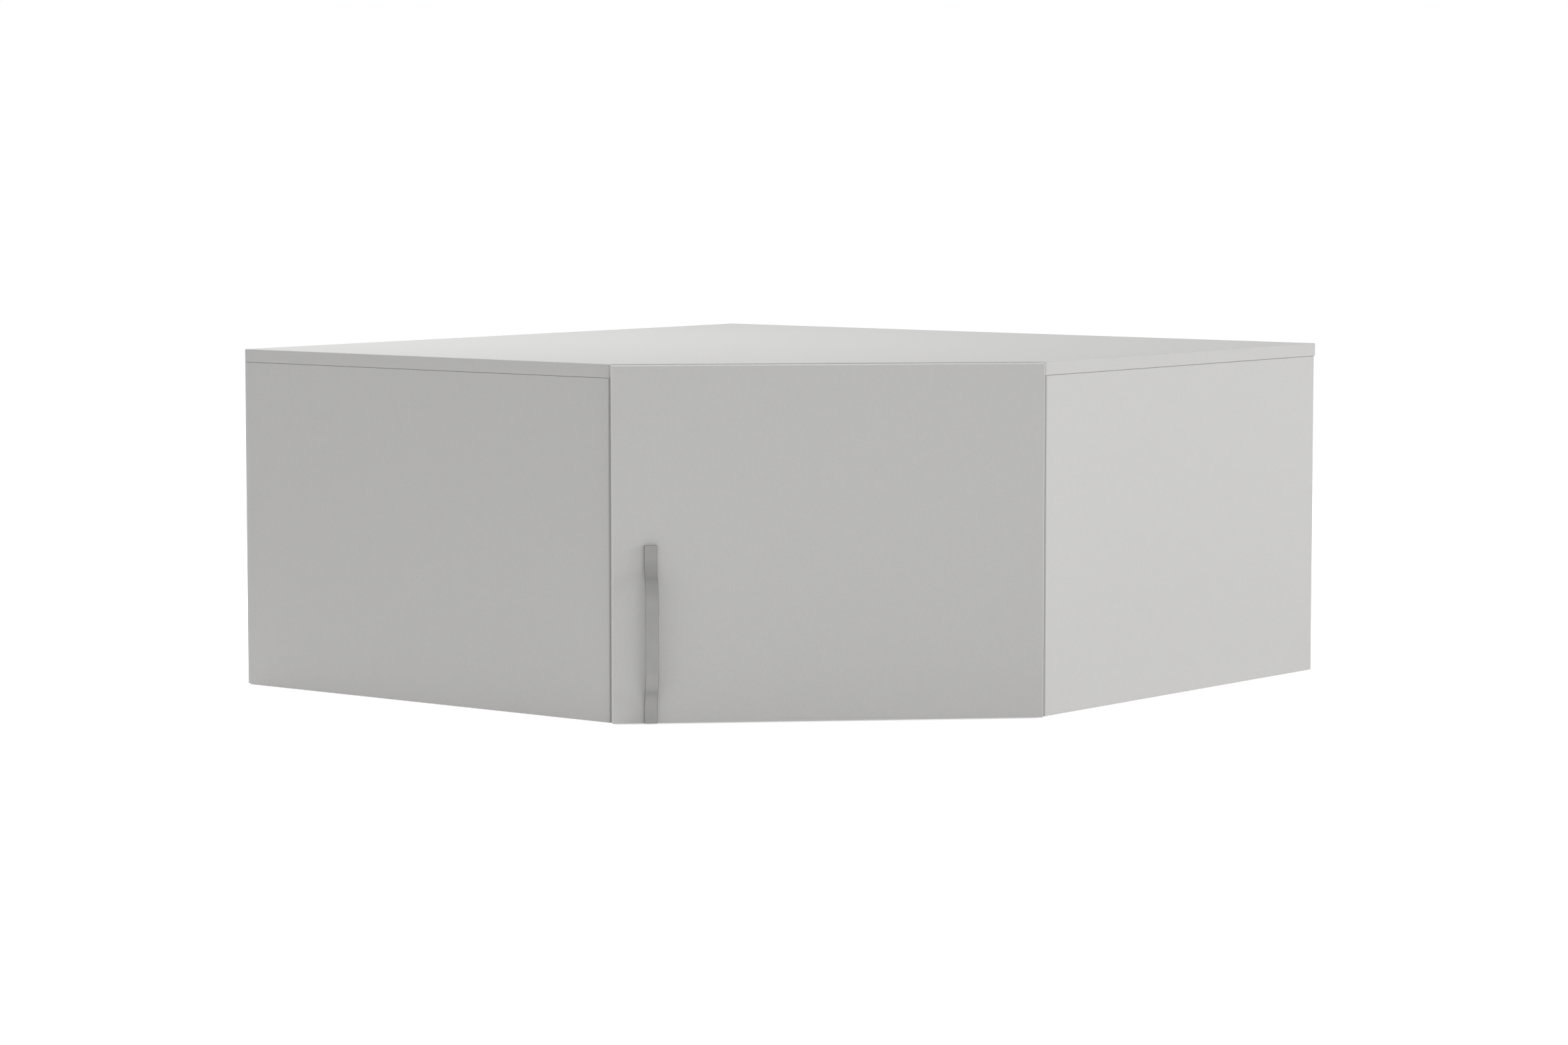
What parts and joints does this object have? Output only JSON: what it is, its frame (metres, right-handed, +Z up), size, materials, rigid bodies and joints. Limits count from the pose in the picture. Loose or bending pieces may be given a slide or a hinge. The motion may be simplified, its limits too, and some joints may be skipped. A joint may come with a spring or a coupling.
{
  "type": "corner top cabinet",
  "caption": "Five-sided corner cabinet with a flat top, plain sides and one hinged door across the diagonal with a bow handle low on its free side.",
  "frame": {"origin": "on the underside, halfway between the diagonal front of the carcass and the room corner", "axes": "+Z up, the door faces -Y, +Y points into the room corner, +X to the right seen from the room"},
  "size_m": [1.3436, 1.134, 0.415],
  "materials": {
    "melamine_board": "light grey coated chipboard, fine matt grain",
    "edge_banding": "light grey plastic edging, satin",
    "hardboard": "brown hardboard, light grey on its inner face",
    "batten_wood": "planed spruce",
    "dowel_wood": "fluted beech",
    "zinc_fittings": "die-cast zinc",
    "zinc_screws": "bright zinc plated steel",
    "hinge_metal": "nickel plated steel",
    "spring_steel": "oiled spring steel",
    "handle_metal": "satin grey lacquered metal",
    "cap_plastic": "light grey plastic caps",
    "bumper_rubber": "clear soft plastic"
  },
  "bodies": {
    "carcass": {"top_panel": "melamine_board", "bottom_panel": "melamine_board", "left_side_panel": "melamine_board", "right_side_panel": "melamine_board", "top_edge_banding": "edge_banding", "bottom_edge_banding": "edge_banding", "side_edge_banding": "edge_banding", "left_back_panel": "hardboard", "right_back_panel": "hardboard", "corner_batten": "batten_wood", "corner_batten_screws": "zinc_screws", "cam_bolts": "zinc_screws", "cam_housings": "zinc_fittings", "cam_cover_caps": "cap_plastic", "wooden_dowels": "dowel_wood", "back_panel_nails": "zinc_screws", "left_wall_bracket": "zinc_fittings", "right_wall_bracket": "zinc_fittings", "wall_bracket_screws": "zinc_screws", "lower_hinge_arm": "hinge_metal", "upper_hinge_arm": "hinge_metal", "lower_hinge_plate": "hinge_metal", "upper_hinge_plate": "hinge_metal", "hinge_plate_screws": "zinc_screws", "hinge_arm_screws": "zinc_screws"},
    "door": {"door_panel": "melamine_board", "door_edge_banding": "edge_banding", "handle": "handle_metal", "handle_screws": "zinc_screws", "lower_hinge_cup": "hinge_metal", "upper_hinge_cup": "hinge_metal", "lower_hinge_pin": "zinc_screws", "upper_hinge_pin": "zinc_screws", "lower_hinge_spring": "spring_steel", "upper_hinge_spring": "spring_steel", "hinge_cup_screws": "zinc_screws", "door_bumpers": "bumper_rubber"}
  },
  "joints": [
    {"name": "door_swing", "type": "hinge", "parent": "carcass", "child": "door", "pos_m": [0.24206, -0.55697, 0], "axis": [0, 0, 1], "range_deg": [0, 95]}
  ]
}
